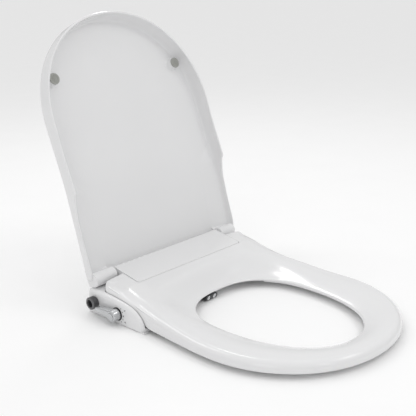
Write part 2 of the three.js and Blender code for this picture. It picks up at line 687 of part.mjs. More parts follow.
function addBase() {
  const base = new THREE.Group();
  base.add(
    mesh("mounting_plate", mountingPlate(), dark),
    mesh("base_housing", baseHousing(), white),
    mesh("base_cover", baseCover(), white),
    mesh("nozzle_housing", nozzleHousing(), dark),
    mesh("nozzle_manifold", nozzleManifold(), white),
    mesh("rear_wash_hose", rearWashHose(), clearHose),
    mesh("front_wash_hose", frontWashHose(), clearHose),
    mesh("release_spring", releaseSpring(), steel),
    mesh("release_spring_seat", springSeat(), white),
  );
  for (const [side, word] of [[-1, "left"], [1, "right"]]) {
    base.add(mesh("damper_" + word, damperBody(side), dark));
  }
  bidetSeat.add(base);
}

function addControls() {
  const controls = new THREE.Group();
  controls.add(
    mesh("control_wing", controlWing(), white),
    mesh("dial_ring", dialRing(), dark),
    mesh("lever_handle", leverHandle(), silver),
    mesh("lever_cap", leverCap(), silver),
    mesh("valve_spindle", valveSpindle(), steel),
    mesh("valve_disc", valveDisc(), white),
    mesh("valve_body", valveBody(), black),
    mesh("inlet_nipple", inletNipple(), dark),
    mesh("inlet_filter", inletFilter(), steel),
  );
  bidetSeat.add(controls);
}

function addNozzles() {
  for (const [side, word] of [[-1, "rear"], [1, "front"]]) {
    bidetSeat.add(
      mesh(word + "_nozzle_tube", nozzleTube(side * NOZZLE_X), steel),
      mesh(word + "_nozzle_tip", nozzleTip(side * NOZZLE_X), white),
    );
  }
}

function addSeat() {
  bidetSeat.add(mesh("seat_top", seatTopShell(), white), mesh("seat_bottom", seatBottom(), white));
  const places = [[-118, -330], [118, -330], [-146, -175], [146, -175]];
  places.forEach(([x, y], i) => bidetSeat.add(mesh("seat_bumper_" + (i + 1), seatBumper(x, y), grey)));
  bidetSeat.add(mesh("damper_shaft_right", damperShaft(1), steel));
}

function addLid() {
  const shell = join(lidClosed(), lidBoss(-1), lidBoss(1));
  bidetSeat.add(mesh("lid_shell", openLid(shell), white));
  for (const [side, word] of [[-1, "left"], [1, "right"]]) {
    const z0 = LID_BUMPER.faceZ;
    const disc = barZ(side * LID_BUMPER.x, LID_BUMPER.y, z0, z0 + LID_BUMPER.thickness, LID_BUMPER.r, 24);
    bidetSeat.add(mesh("lid_bumper_" + word, openLid(disc), grey));
  }
  bidetSeat.add(mesh("damper_shaft_left", damperShaft(-1), steel));
}

addBase();
addControls();
addNozzles();
addSeat();
addLid();
bidetSeat.add(mesh("release_button", releaseButton(), grey));

export default bidetSeat;
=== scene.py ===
"""Looks of the bidet seat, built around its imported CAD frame. Lengths are in millimetres until a mesh is made."""

import json
import math

import bmesh
import bpy
import numpy as np
from mathutils import Matrix, Vector
from mathutils.geometry import delaunay_2d_cdt


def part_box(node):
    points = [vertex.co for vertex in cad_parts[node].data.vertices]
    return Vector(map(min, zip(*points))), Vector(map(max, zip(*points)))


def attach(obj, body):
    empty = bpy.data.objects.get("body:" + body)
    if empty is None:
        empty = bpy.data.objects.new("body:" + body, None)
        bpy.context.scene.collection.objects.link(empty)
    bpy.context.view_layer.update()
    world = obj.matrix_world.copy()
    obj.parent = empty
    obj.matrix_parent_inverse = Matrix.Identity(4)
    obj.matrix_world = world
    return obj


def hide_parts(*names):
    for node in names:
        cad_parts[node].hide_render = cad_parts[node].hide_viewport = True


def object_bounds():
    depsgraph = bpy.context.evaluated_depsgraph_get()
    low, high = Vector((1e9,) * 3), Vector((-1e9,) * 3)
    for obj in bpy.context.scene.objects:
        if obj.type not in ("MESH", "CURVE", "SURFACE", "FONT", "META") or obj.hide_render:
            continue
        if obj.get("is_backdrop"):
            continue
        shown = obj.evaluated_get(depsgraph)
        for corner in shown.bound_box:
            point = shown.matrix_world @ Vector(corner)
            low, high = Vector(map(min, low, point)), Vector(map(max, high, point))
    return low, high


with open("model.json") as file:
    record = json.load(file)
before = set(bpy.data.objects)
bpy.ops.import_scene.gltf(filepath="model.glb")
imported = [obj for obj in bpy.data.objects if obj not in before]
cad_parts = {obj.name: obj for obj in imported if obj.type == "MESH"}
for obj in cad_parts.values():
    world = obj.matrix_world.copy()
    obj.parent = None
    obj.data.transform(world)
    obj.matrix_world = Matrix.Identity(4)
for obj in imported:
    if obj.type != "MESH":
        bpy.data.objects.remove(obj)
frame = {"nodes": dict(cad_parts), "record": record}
cad_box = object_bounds()

MM = 0.001

# ---- dimensions that the frame was made with ----
SEAT_HALF = 180.0
SEAT_FRONT_Y = -411.0
WIDEST_Y = -229.0
FRONT_POWER = 2.08
SIDE_TAPER = 9.5
TAPER_END_Y = -60.0
LID_TAPER_END_Y = 14.0
SHOULDER_FALL = 4.0
SEAT_REAR_Y = -33.0
EAR_REAR_Y = 6.0
NOTCH_HALF = 126.4
SIDE_BOTTOM_Y = [-97.0, -91.0, -81.0, -67.0, -50.0, -25.0, 6.0]
SIDE_BOTTOM_Z = [8.0, 14.0, 20.5, 28.0, 34.0, 36.5, 39.5]
NOTCH_CORNER = 6.0
RING_TOP = 24.0
REAR_TOP = 52.6
COVER_SLOPE = 0.19
HOLE_Y = -200.5
HOLE_HALF = 106.6
HOLE_FRONT, HOLE_REAR = 160.7, 111.3
HOLE_FRONT_POWER, HOLE_REAR_POWER = 2.16, 2.48
HOLE_LIP = 3.2
SEAT_SKIN = 3.2
HINGE_Y, HINGE_Z = 26.0, 54.5
LID_OPEN = math.radians(112)
LID_TOP_Z = 54.8
LID_RAMP_Y, LID_RAMP_SLOPE = -132.0, 0.114
LID_REAR_Y = 33.0
WING_X = -178.0
WING_INNER_X = -140.6
LEVER_Y, LEVER_Z = -38.0, 17.0
INLET_Y, INLET_Z = 16.5, 22.0
NOZZLE_TILT = math.radians(10)
NOZZLE_X = 7.0
NOZZLE_TIP = (-13.0, -86.0, 5.4)


# ---- mesh helpers ----
def new_object(name, verts, faces, material, sharp=32.0, merge=0.02):
    """Makes an object from millimetre vertices; close vertices are merged and faces turned outwards."""
    mesh = bpy.data.meshes.new(name)
    mesh.from_pydata([tuple(v) for v in np.asarray(verts, float) * MM], [], [tuple(f) for f in faces])
    bm = bmesh.new()
    bm.from_mesh(mesh)
    bmesh.ops.remove_doubles(bm, verts=bm.verts, dist=merge * MM)
    bmesh.ops.dissolve_degenerate(bm, edges=bm.edges, dist=1e-7)
    loose = [v for v in bm.verts if not v.link_faces]
    bmesh.ops.delete(bm, geom=loose, context="VERTS")
    bmesh.ops.recalc_face_normals(bm, faces=bm.faces)
    bm.to_mesh(mesh)
    bm.free()
    mesh.shade_smooth()
    mesh.set_sharp_from_angle(angle=math.radians(sharp))
    obj = bpy.data.objects.new(name, mesh)
    bpy.context.scene.collection.objects.link(obj)
    if material:
        mesh.materials.append(material)
    return obj


class Shell:
    """Collects rings of points and fills between them."""

    def __init__(self):
        self.verts = []
        self.faces = []

    def add(self, points):
        start = len(self.verts)
        self.verts.extend(np.asarray(points, float).tolist())
        return list(range(start, start + len(points)))

    def bridge(self, a, b, closed=True):
        n = len(a)
        for i in range(n if closed else n - 1):
            j = (i + 1) % n
            self.faces.append((a[i], a[j], b[j], b[i]))

    def rings(self, rings, closed=True):
        ids = [self.add(r) for r in rings]
        for a, b in zip(ids, ids[1:]):
            self.bridge(a, b, closed)
        return ids

    def cap(self, ring):
        self.faces.append(tuple(ring))

    def fill(self, loops, height, step, to3d=lambda p, h: (p[0], p[1], h)):
        """Fills the region between plan loops with a triangle mesh whose height comes from a function."""
        points, edges = [], []
        for loop in loops:
            first = len(points)
            points += [tuple(p) for p in loop]
            n = len(loop)
            edges += [(first + i, first + (i + 1) % n) for i in range(n)]
        ring = np.array(loops[0])
        lo, hi = ring.min(0), ring.max(0)
        xs = np.arange(lo[0] + step / 2, hi[0], step)
        ys = np.arange(lo[1] + step / 2, hi[1], step * 0.866)
        gx, gy = np.meshgrid(xs, ys)
        gx = gx + (np.arange(len(ys)) % 2)[:, None] * step / 2
        grid = np.stack([gx.ravel(), gy.ravel()], 1)
        keep = inside(grid, ring)
        for hole in loops[1:]:
            keep &= ~inside(grid, np.array(hole))
        border = np.array(points)
        for start in range(0, len(grid), 4000):
            part = grid[start : start + 4000]
            gap = np.min(np.hypot(part[:, None, 0] - border[None, :, 0], part[:, None, 1] - border[None, :, 1]), 1)
            keep[start : start + 4000] &= gap > step * 0.55
        points += [tuple(p) for p in grid[keep]]
        flat, _, tris, *_ = delaunay_2d_cdt([Vector(p) for p in points], edges, [], 1 if len(loops) == 1 else 0, 1e-6)
        flat = np.array([(v.x, v.y) for v in flat])
        centre = np.array([flat[list(t)].mean(0) for t in tris])
        ok = inside(centre, ring)
        for hole in loops[1:]:
            ok &= ~inside(centre, np.array(hole))
        h = height(flat[:, 0], flat[:, 1])
        ids = self.add([to3d(p, z) for p, z in zip(flat, h)])
        self.faces += [tuple(ids[i] for i in t) for t, good in zip(tris, ok) if good]


def inside(points, loop):
    x, y = points[:, 0], points[:, 1]
    result = np.zeros(len(points), bool)
    n = len(loop)
    for i in range(n):
        x0, y0 = loop[i]
        x1, y1 = loop[(i + 1) % n]
        if y0 == y1:
            continue
        crosses = (y0 > y) != (y1 > y)
        result ^= crosses & (x < (x1 - x0) * (y - y0) / (y1 - y0) + x0)
    return result


def resample(points, spacing):
    """Evenly spaced points along a closed polyline."""
    p = np.vstack([points, points[:1]])
    d = np.hypot(*np.diff(p, axis=0).T)
    keep = np.concatenate([[True], d > 1e-6])
    p = p[keep]
    s = np.concatenate([[0], np.cumsum(np.hypot(*np.diff(p, axis=0).T))])
    n = int(round(s[-1] / spacing))
    t = np.linspace(0, s[-1], n, endpoint=False)
    return np.stack([np.interp(t, s, p[:, 0]), np.interp(t, s, p[:, 1])], 1)


def smooth_ring(values, width):
    """Gaussian smoothing round a closed loop."""
    k = np.exp(-0.5 * (np.arange(-3 * width, 3 * width + 1) / width) ** 2)
    k /= k.sum()
    pad = 3 * width
    wrapped = np.concatenate([values[-pad:], values, values[:pad]])
    return np.convolve(wrapped, k, "valid")


def normals_of(loop):
    """Outward normals of an anticlockwise loop."""
    t = np.roll(loop, -1, 0) - np.roll(loop, 1, 0)
    t /= np.maximum(np.hypot(*t.T), 1e-9)[:, None]
    return np.stack([t[:, 1], -t[:, 0]], 1)


def inset(loop, distance):
    return loop - normals_of(loop) * np.reshape(distance, (-1, 1))


def arc(cx, cy, r, a0, a1, steps):
    a = np.radians(np.linspace(a0, a1, steps))
    return np.stack([cx + r * np.cos(a), cy + r * np.sin(a)], 1)


def smoothstep(x, a, b):
    t = np.clip((x - a) / (b - a), 0, 1)
    return t * t * (3 - 2 * t)


def superellipse(a, front, rear, cy, power_front, power_rear, steps):
    t = np.linspace(0, 2 * np.pi, steps, endpoint=False)
    c, s = np.cos(t), np.sin(t)
    n = np.where(s < 0, power_front, power_rear)
    x = a * np.sign(c) * np.abs(c) ** (2 / n)
    y = cy + np.where(s < 0, front, rear) * np.sign(s) * np.abs(s) ** (2 / n)
    return np.stack([x, y], 1)


def boolean(obj, tool, operation):
    """Cuts or joins with another object's solid and removes that object."""
    mod = obj.modifiers.new("b", "BOOLEAN")
    mod.operation = operation
    mod.object = tool
    mod.solver = "EXACT"
    deps = bpy.context.evaluated_depsgraph_get()
    result = bpy.data.meshes.new_from_object(obj.evaluated_get(deps))
    obj.modifiers.clear()
    obj.data = result
    bpy.data.objects.remove(tool)


def finish_mesh(obj, sharp=32.0):
    bm = bmesh.new()
    bm.from_mesh(obj.data)
    bmesh.ops.remove_doubles(bm, verts=bm.verts, dist=1e-6)
    bm.to_mesh(obj.data)
    bm.free()
    obj.data.shade_smooth()
    obj.data.set_sharp_from_angle(angle=math.radians(sharp))


# ---- materials ----
def principled(name):
    material = bpy.data.materials.new(name)
    material.use_nodes = True
    nodes, links = material.node_tree.nodes, material.node_tree.links
    shader = nodes["Principled BSDF"]
    coords = nodes.new("ShaderNodeTexCoord")
    return material, nodes, links, shader, coords


def noise(nodes, links, coords, scale, detail=3.0, rough=0.5):
    tex = nodes.new("ShaderNodeTexNoise")
    tex.inputs["Scale"].default_value = scale
    tex.inputs["Detail"].default_value = detail
    tex.inputs["Roughness"].default_value = rough
    links.new(coords.outputs["Object"], tex.inputs["Vector"])
    return tex


def ramp(nodes, links, source, stops):
    node = nodes.new("ShaderNodeValToRGB")
    elements = node.color_ramp.elements
    while len(elements) < len(stops):
        elements.new(0.5)
    for element, (position, colour) in zip(elements, stops):
        element.position = position
        element.color = (*colour, 1)
    links.new(source, node.inputs["Fac"])
    return node


def moulded(name, colour, rough, spread=0.04, tint=0.02, peel=0.05, peel_scale=260.0, coat=0.0, metallic=0.0):
    """Moulded plastic: slight colour drift, uneven gloss and a fine surface texture."""
    material, nodes, links, shader, coords = principled(name)
    drift = noise(nodes, links, coords, 9.0, 2.0)
    low = tuple(max(0.0, c * (1 - tint)) for c in colour)
    high = tuple(min(1.0, c * (1 + tint)) for c in colour)
    tone = ramp(nodes, links, drift.outputs["Fac"], [(0.3, low), (0.7, high)])
    links.new(tone.outputs["Color"], shader.inputs["Base Color"])
    gloss = noise(nodes, links, coords, 38.0, 4.0, 0.6)
    level = nodes.new("ShaderNodeMapRange")
    level.inputs["From Min"].default_value = 0.3
    level.inputs["From Max"].default_value = 0.7
    level.inputs["To Min"].default_value = max(0.02, rough - spread)
    level.inputs["To Max"].default_value = rough + spread
    links.new(gloss.outputs["Fac"], level.inputs["Value"])
    links.new(level.outputs["Result"], shader.inputs["Roughness"])
    grain = noise(nodes, links, coords, peel_scale, 2.0)
    bump = nodes.new("ShaderNodeBump")
    bump.inputs["Strength"].default_value = peel
    bump.inputs["Distance"].default_value = 0.0004
    links.new(grain.outputs["Fac"], bump.inputs["Height"])
    links.new(bump.outputs["Normal"], shader.inputs["Normal"])
    shader.inputs["Metallic"].default_value = metallic
    shader.inputs["Coat Weight"].default_value = coat
    shader.inputs["Coat Roughness"].default_value = 0.06
    return material


WHITE = moulded("white_gloss", (0.80, 0.80, 0.805), 0.17, 0.04, 0.008, 0.03, 220.0, 0.25)
INNER = moulded("inner_white", (0.72, 0.72, 0.70), 0.42, 0.06, 0.03, 0.15, 500.0)
DARK = moulded("dark_plastic", (0.018, 0.018, 0.020), 0.38, 0.08, 0.15, 0.2, 700.0)
NOZZLE = moulded("nozzle_gloss", (0.030, 0.031, 0.034), 0.14, 0.05, 0.12, 0.05, 300.0, 0.4)
TIP = moulded("nozzle_tip", (0.62, 0.63, 0.64), 0.22, 0.05, 0.04, 0.05, 400.0)
BUTTON = moulded("button_grey", (0.17, 0.175, 0.18), 0.45, 0.06, 0.06, 0.3, 900.0)
SILVER = moulded("silver_coat", (0.56, 0.57, 0.58), 0.24, 0.06, 0.04, 0.05, 600.0, 0.3, 0.75)
STEEL = moulded("steel", (0.50, 0.50, 0.51), 0.30, 0.10, 0.08, 0.05, 900.0, 0.0, 1.0)
INLET_BLACK = moulded("inlet_black", (0.15, 0.15, 0.155), 0.3, 0.08, 0.12, 0.15, 600.0, 0.0, 0.35)
MESH = moulded("filter_mesh", (0.045, 0.045, 0.05), 0.5, 0.08, 0.2, 0.6, 2600.0, 0.0, 0.6)
RUBBER = moulded("bumper_rubber", (0.37, 0.375, 0.35), 0.72, 0.08, 0.07, 0.5, 1200.0)
HOSE = moulded("hose_plastic", (0.66, 0.69, 0.71), 0.30, 0.05, 0.03, 0.05, 300.0)
INK = moulded("dial_ink", (0.10, 0.10, 0.11), 0.55, 0.05, 0.1, 0.05, 500.0)


def place_piece(piece, body, node=None):
    """Hangs a piece on the body that carries it and hides the frame node it stands for."""
    if node:
        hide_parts(node)
    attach(piece, body)


# ---- seat ----
def half_width(y):
    y = np.asarray(y, float)
    side = SEAT_HALF - SIDE_TAPER * smoothstep(y, WIDEST_Y, TAPER_END_Y)
    along = np.clip((WIDEST_Y - y) / (WIDEST_Y - SEAT_FRONT_Y), 0, 1)
    return np.where(y > WIDEST_Y, side, SEAT_HALF * (1 - along**FRONT_POWER) ** (1 / FRONT_POWER))


def seat_slope(y):
    rise = np.clip((y - WIDEST_Y) / (SEAT_REAR_Y - WIDEST_Y), 0, 1)
    ring = RING_TOP + (REAR_TOP - RING_TOP) * rise**2
    return np.where(y > SEAT_REAR_Y, REAR_TOP + COVER_SLOPE * (y - SEAT_REAR_Y), ring)


def front_arc(inset_by, steps):
    a = np.linspace(0, np.pi, steps)
    c, s = np.cos(a), np.sin(a)
    x = (SEAT_HALF - inset_by) * np.sign(c) * np.abs(c) ** (2 / FRONT_POWER)
    y = WIDEST_Y - (WIDEST_Y - SEAT_FRONT_Y - inset_by) * np.abs(s) ** (2 / FRONT_POWER)
    return np.stack([x, y], 1)[::-1]


def seat_outline():
    """Anticlockwise: round the front, up the right side, round the right ear, along the notch and back."""
    ear_corner = 13.0
    ys = np.linspace(WIDEST_Y, EAR_REAR_Y - ear_corner, 60)
    side = np.stack([half_width(ys), ys], 1)
    x_out = float(half_width(EAR_REAR_Y - ear_corner))
    corner = arc(x_out - ear_corner, EAR_REAR_Y - ear_corner, ear_corner, 0, 90, 14)
    inner = arc(NOTCH_HALF + 2.0, EAR_REAR_Y - 2.0, 2.0, 90, 180, 8)
    notch = arc(NOTCH_HALF - NOTCH_CORNER, SEAT_REAR_Y + NOTCH_CORNER, NOTCH_CORNER, 0, -90, 12)
    right = np.vstack([side[1:], corner, inner, notch])
    left = right[::-1] * (-1, 1)
    return np.vstack([front_arc(0, 200), right, left[:-1]])


def ring_reach(angles):
    """Distance from the hole's centre to the ring's outline, along each angle."""
    near = np.zeros_like(angles)
    far = np.full_like(angles, 400.0)
    for _ in range(30):
        mid = (near + far) / 2
        x = np.abs(np.cos(angles) * mid)
        y = HOLE_Y + np.sin(angles) * mid
        ok = (y < SEAT_REAR_Y) & (y > SEAT_FRONT_Y) & (x < half_width(y))
        near = np.where(ok, mid, near)
        far = np.where(ok, far, mid)
    return near


TABLE = np.linspace(-np.pi, np.pi, 1440, endpoint=False)
REACH = smooth_ring(ring_reach(TABLE), 26)


def seat_height(x, y):
    """Height of the seat's top before its edges are rounded."""
    x, y = np.asarray(x, float), np.asarray(y, float)
    angle = np.arctan2(y - HOLE_Y, x)
    r = np.hypot(x, y - HOLE_Y)
    rear = np.sin(angle) > 0
    n = np.where(rear, HOLE_REAR_POWER, HOLE_FRONT_POWER)
    b = np.where(rear, HOLE_REAR, HOLE_FRONT)
    hole = (np.abs(np.cos(angle) / HOLE_HALF) ** n + np.abs(np.sin(angle) / b) ** n) ** (-1 / n)
    outer = np.interp(angle, TABLE, REACH, period=2 * np.pi)
    f = np.clip((outer - r) / (outer - hole), 0, 1)
    fall = np.clip((f - 0.36) / 0.64, 0, 1)
    dished = 0.5 - 0.5 * np.cos(np.pi * fall)
    rolled = 1 - np.cos(np.pi / 2 * fall)
    back = smoothstep(y, -190.0, -100.0)
    ease = rolled + (dished - rolled) * back * 0.75
    top = seat_slope(y) - SHOULDER_FALL / 50.0 * np.maximum(np.abs(x) - 120.0, 0) * smoothstep(y, -150.0, -40.0)
    return top - (top - hole_edge(y) - HOLE_LIP) * ease


def hole_edge(y):
    return 11.5 + 1.5 * smoothstep(y, -150.0, -95.0)


def seat_top():
    loop = resample(seat_outline(), 3.0)
    n = normals_of(loop)
    x, y = np.abs(loop[:, 0]), loop[:, 1]
    notch = (y > SEAT_REAR_Y - 1.0) & (x < NOTCH_HALF + 0.6)
    ear_rear = (y > EAR_REAR_Y - 12) & ~notch & (n[:, 1] > 0.3)
    broad = smoothstep(y, -150.0, -40.0)
    reach = np.where(notch, 1.0, np.where(ear_rear, 3.0, 12.0 + 12.0 * broad))
    reach = np.maximum(smooth_ring(reach, 2), 0.8)
    reach[notch & (x < NOTCH_HALF - 8)] = 1.0
    under = smooth_ring(np.interp(y, SIDE_BOTTOM_Y, SIDE_BOTTOM_Z), 2)
    edge_top = seat_height(loop[:, 0], loop[:, 1])
    depth = np.minimum(np.minimum(reach, 13.0), edge_top - under - 2.6)
    shell = Shell()

    def ring_at(distance, z):
        p = inset(loop, distance)
        return np.column_stack([p, z if np.ndim(z) else np.full(len(p), z)])

    def height_at(distance):
        p = inset(loop, distance)
        return seat_height(p[:, 0], p[:, 1])

    rings = [ring_at(SEAT_SKIN, under), ring_at(1.0, under), ring_at(0.2, under + 0.7)]
    for a in np.radians(np.linspace(0, 90, 13)):
        d = reach * (1 - math.cos(a))
        rings.append(ring_at(d, height_at(d) - depth * (1 - math.sin(a))))
    rings.insert(3, ring_at(0.0, under + 1.8))
    shell.rings(rings)
    hole = superellipse(HOLE_HALF, HOLE_FRONT, HOLE_REAR, HOLE_Y, HOLE_FRONT_POWER, HOLE_REAR_POWER, 720)
    hole = resample(hole, 3.0)
    edge = hole_edge(hole[:, 1])
    grow = [(2.2, None), (1.2, 0.15), (0.45, 0.75), (0.0, 2.0)]
    hole_rings = []
    for d, drop in grow:
        p = inset(hole, -d)
        z = seat_height(p[:, 0], p[:, 1])
        hole_rings.append(np.column_stack([p, z if drop is None else z - drop]))
    hole_rings.append(np.column_stack([hole, edge + 0.6]))
    hole_rings.append(np.column_stack([inset(hole, -0.6), edge]))
    hole_rings.append(np.column_stack([inset(hole, -3.4), edge]))
    shell.rings(hole_rings)
    shell.fill([np.array(rings[-1])[:, :2], hole_rings[0][:, :2]], seat_height, 4.0)
    # the skin's underside
    floor = lambda px, py: np.maximum(seat_height(px, py) - SEAT_SKIN, hole_edge(py) + 0.4)
    inner = inset(loop, SEAT_SKIN)
    inner_top = floor(inner[:, 0], inner[:, 1]) - 1.5
    shell.rings([rings[0], np.column_stack([inner, inner_top])])
    lip = inset(hole, -3.4)
    shell.rings([hole_rings[-1], np.column_stack([lip, floor(lip[:, 0], lip[:, 1])])])
    deeper = inset(loop, 5.0)
    deeper_top = floor(deeper[:, 0], deeper[:, 1])
    shell.rings([np.column_stack([inner, inner_top]), np.column_stack([deeper, deeper_top])])
    shell.fill([deeper, lip], floor, 9.0)
    return new_object("seat_ring_top", shell.verts, shell.faces, WHITE, 40.0)


seat = seat_top()
place_piece(seat, "seat", "seat_top")


# ---- lid, made in its closed place and then turned open ----
LID_SKIN = 3.5
LID_CORNER = 14.0
RIM_YS = [-420.0, -229.0, -190.0, -114.2, -112.5, -105.0, -90.0, -74.0, -40.0, 0.0, 14.0, 25.0, 31.0, 33.0]
RIM_ZS = [22.3, 22.3, 24.6, 24.6, 28.0, 32.0, 37.2, 41.2, 45.2, 48.2, 49.6, 54.0, 61.0, 69.0]
SHOULDER_YS = [-229.0, -165.0, -140.0, -128.0, -117.0, -100.0, -68.0, -14.0, 33.0]
SHOULDER_XS = [166.5, 166.0, 161.0, 150.0, 138.0, 134.5, 133.5, 129.5, 127.0]


def opened(points):
    """Turns closed-lid points open about the hinge line."""
    p = np.asarray(points, float)
    dy, dz = p[:, 1] - HINGE_Y, p[:, 2] - HINGE_Z
    c, s = math.cos(-LID_OPEN), math.sin(-LID_OPEN)
    return np.column_stack([p[:, 0], HINGE_Y + dy * c - dz * s, HINGE_Z + dy * s + dz * c])


def lid_top(x, y):
    rise = 10.0 * np.logaddexp(0, (np.asarray(y) - LID_RAMP_Y) / 10.0)
    return LID_TOP_Z + LID_RAMP_SLOPE * rise - 1.1 * (np.asarray(x) / 177.0) ** 2 - 0.3


def lid_outline():
    ys = np.linspace(WIDEST_Y, LID_REAR_Y - LID_CORNER, 80)
    side = np.stack([177.0 - 1.5 * ((ys - WIDEST_Y) / (LID_TAPER_END_Y - WIDEST_Y)) ** 2, ys], 1)
    corner = arc(side[-1, 0] - LID_CORNER, LID_REAR_Y - LID_CORNER, LID_CORNER, 0, 90, 14)
    right = np.vstack([side[1:], corner])
    return np.vstack([front_arc(3.0, 200), right, (right * (-1, 1))[::-1][:-1]])


def lid_shell():
    loop = resample(lid_outline(), 3.0)
    n = normals_of(loop)
    x, y = loop[:, 0], loop[:, 1]
    rear = (n[:, 1] > 0.5) & (y > 0)
    under = lid_top(x, y) - LID_SKIN
    rim = np.interp(y, RIM_YS, RIM_ZS)
    rim = np.where(rear, under - 0.2, np.minimum(rim, under - 0.2))
    radius = np.where(rear, 2.5, 9.0)
    radius = np.minimum(smooth_ring(radius, 3), np.maximum(2.0, (lid_top(x, y) - rim) * 0.8))

    def ring_at(distance, z):
        p = inset(loop, distance)
        return np.column_stack([p, z])

    rings = [ring_at(LID_SKIN, rim + 0.9), ring_at(LID_SKIN - 0.9, rim), ring_at(0.9, rim), ring_at(0.0, rim + 0.9)]
    for a in np.radians(np.linspace(0, 90, 10)):
        p = inset(loop, radius * (1 - math.cos(a)))
        rings.append(np.column_stack([p, lid_top(p[:, 0], p[:, 1]) - radius * (1 - math.sin(a))]))
    shell = Shell()
    shell.rings([opened(r) for r in rings])

    def panel(px, py):
        return lid_top(px, py) - LID_SKIN

    to_open = lambda p, h: opened([(p[0], p[1], h)])[0]
    shell.fill([rings[-1][:, :2]], lid_top, 7.0, to_open)
    # the inside: a steep wall, then in the rear a sloped flange in to the shoulder
    start = inset(loop, LID_SKIN)
    limit = np.interp(y, SHOULDER_YS, SHOULDER_XS)
    sx = np.sign(x) * np.minimum(np.abs(start[:, 0]), limit)
    sy = np.minimum(start[:, 1], LID_REAR_Y - LID_SKIN)
    front = inset(loop, 11.5)
    shouldered = (y > WIDEST_Y + 64)[:, None]
    shoulder = np.where(shouldered, np.column_stack([sx, sy]), front)
    foot_x = np.sign(x) * np.maximum(np.abs(shoulder[:, 0]), np.abs(start[:, 0]) - 10.5)
    foot = np.where(shouldered, np.column_stack([foot_x, shoulder[:, 1]]), front)
    flange = 0.17 * np.abs(foot[:, 0] - shoulder[:, 0])
    z1 = panel(shoulder[:, 0], shoulder[:, 1])
    zf = panel(foot[:, 0], foot[:, 1]) - flange
    virtual = np.minimum(22.0, rim)
    z0 = np.minimum(rim + 0.9, zf - 0.3)
    power = 2.9
    a0 = np.arcsin(np.clip((z0 - virtual) / (zf - virtual), 0, 1) ** (power / 2))
    wall = []
    for step in np.linspace(0, 1, 15):
        a = a0 + (np.pi / 2 - a0) * step
        along = 1 - np.maximum(np.cos(a), 0) ** (2 / power)
        base = 1 - np.maximum(np.cos(a0), 0) ** (2 / power)
        along = ((along - base) / np.maximum(1 - base, 0.05))[:, None]
        p = start + (foot - start) * along
        wall.append(np.column_stack([p, virtual + (zf - virtual) * np.sin(a) ** (2 / power)]))
    for t in (0.08, 0.5, 0.9, 1.0):
        p = foot + (shoulder - foot) * t
        wall.append(np.column_stack([p, zf + (z1 - zf) * t]))
    shell.rings([opened(r) for r in wall])
    inner = wall[-1][:, :2]
    gap = np.hypot(*(inner - np.roll(inner, 1, 0)).T)
    shell.fill([inner[gap > 0.05]], panel, 6.0, to_open)
    return new_object("lid_panel", shell.verts, shell.faces, WHITE, 38.0)


def prism(name, profile, x0, x1, fillet, material, place=lambda p: p, steps=5, sharp=35.0, both=False):
    """A (y, z) profile run along X, with a rounded edge at the x0 end, or at both ends."""
    way = 1 if x1 > x0 else -1
    if np.sum(profile[:, 0] * np.roll(profile[:, 1], -1) - np.roll(profile[:, 0], -1) * profile[:, 1]) < 0:
        profile = profile[::-1]
    rings = []
    for a in np.radians(np.linspace(90, 0, steps + 1)):
        p = inset(profile, fillet * (1 - math.cos(a)))
        rings.append(np.column_stack([np.full(len(p), x0 + way * fillet * (1 - math.sin(a))), p]))
    if both:
        for a in np.radians(np.linspace(0, 90, steps + 1)):
            p = inset(profile, fillet * (1 - math.cos(a)))
            rings.append(np.column_stack([np.full(len(p), x1 - way * fillet * (1 - math.sin(a))), p]))
    else:
        rings.append(np.column_stack([np.full(len(profile), x1), profile]))
    shell = Shell()
    ids = shell.rings([place(r) for r in rings])
    shell.cap(ids[0])
    shell.cap(ids[-1])
    return new_object(name, shell.verts, shell.faces, material, sharp)


def barrel_profile(x, web=6.0):
    """Barrel section with a concave web that meets the lid's panel smoothly."""
    under = float(lid_top(x, HINGE_Y - 18)) - LID_SKIN + 0.15
    rise = math.asin((under - web - HINGE_Z) / (12.0 + web))
    cy = HINGE_Y - (12.0 + web) * math.cos(rise)
    concave = arc(cy, under - web, web, 88, -math.degrees(rise), 12)
    body = arc(HINGE_Y, HINGE_Z, 12.0, 180 - math.degrees(rise), 352, 34)
    rear = np.array([[HINGE_Y + 9.0, 67.5], [HINGE_Y + 4.0, 68.6]])
    front = np.array([[cy - 0.5, under + 2.2]])
    return np.vstack([front, concave[:-1], body, rear])


def lathe(name, profile, place, material, steps=48, sharp=35.0):
    """Turns a (radius, height) profile; place maps (x, y, height) rows to the part."""
    angles = np.linspace(0, 2 * np.pi, steps, endpoint=False)
    shell = Shell()
    ids = []
    for r, h in profile:
        ring = np.column_stack([r * np.cos(angles), r * np.sin(angles), np.full(steps, h)])
        ids.append(shell.add(place(ring)))
    for a, b in zip(ids, ids[1:]):
        shell.bridge(a, b)
    if profile[0][0] > 0.01:
        shell.cap(ids[0])
    if profile[-1][0] > 0.01:
        shell.cap(ids[-1])
    return new_object(name, shell.verts, shell.faces, material, sharp)


def bumper_profile(r, h, rings=4):
    """A pad with fine concentric grooves on its face; height 0 is the face."""
    profile = [(0.0, 0.25)]
    for i in range(rings):
        mid = r * (0.16 + 0.72 * i / rings)
        profile += [(mid - 0.5, 0.2), (mid - 0.15, 0.65), (mid + 0.15, 0.65), (mid + 0.5, 0.2)]
    profile += [(r - 1.3, 0.0), (r - 0.5, 0.25), (r, 0.9), (r, h - 0.3), (r - 0.3, h), (0.0, h)]
    return profile


LID_BUMPER_X, LID_BUMPER_Y, LID_BUMPER_Z, LID_BUMPER_R = 138.0, -307.0, 38.5, 9.5
LID_BARREL_INNER_X = 129.5
LID_BARREL_OUTER_X = {"left": 173.0, "right": 166.5}  # the left one reaches the skirt


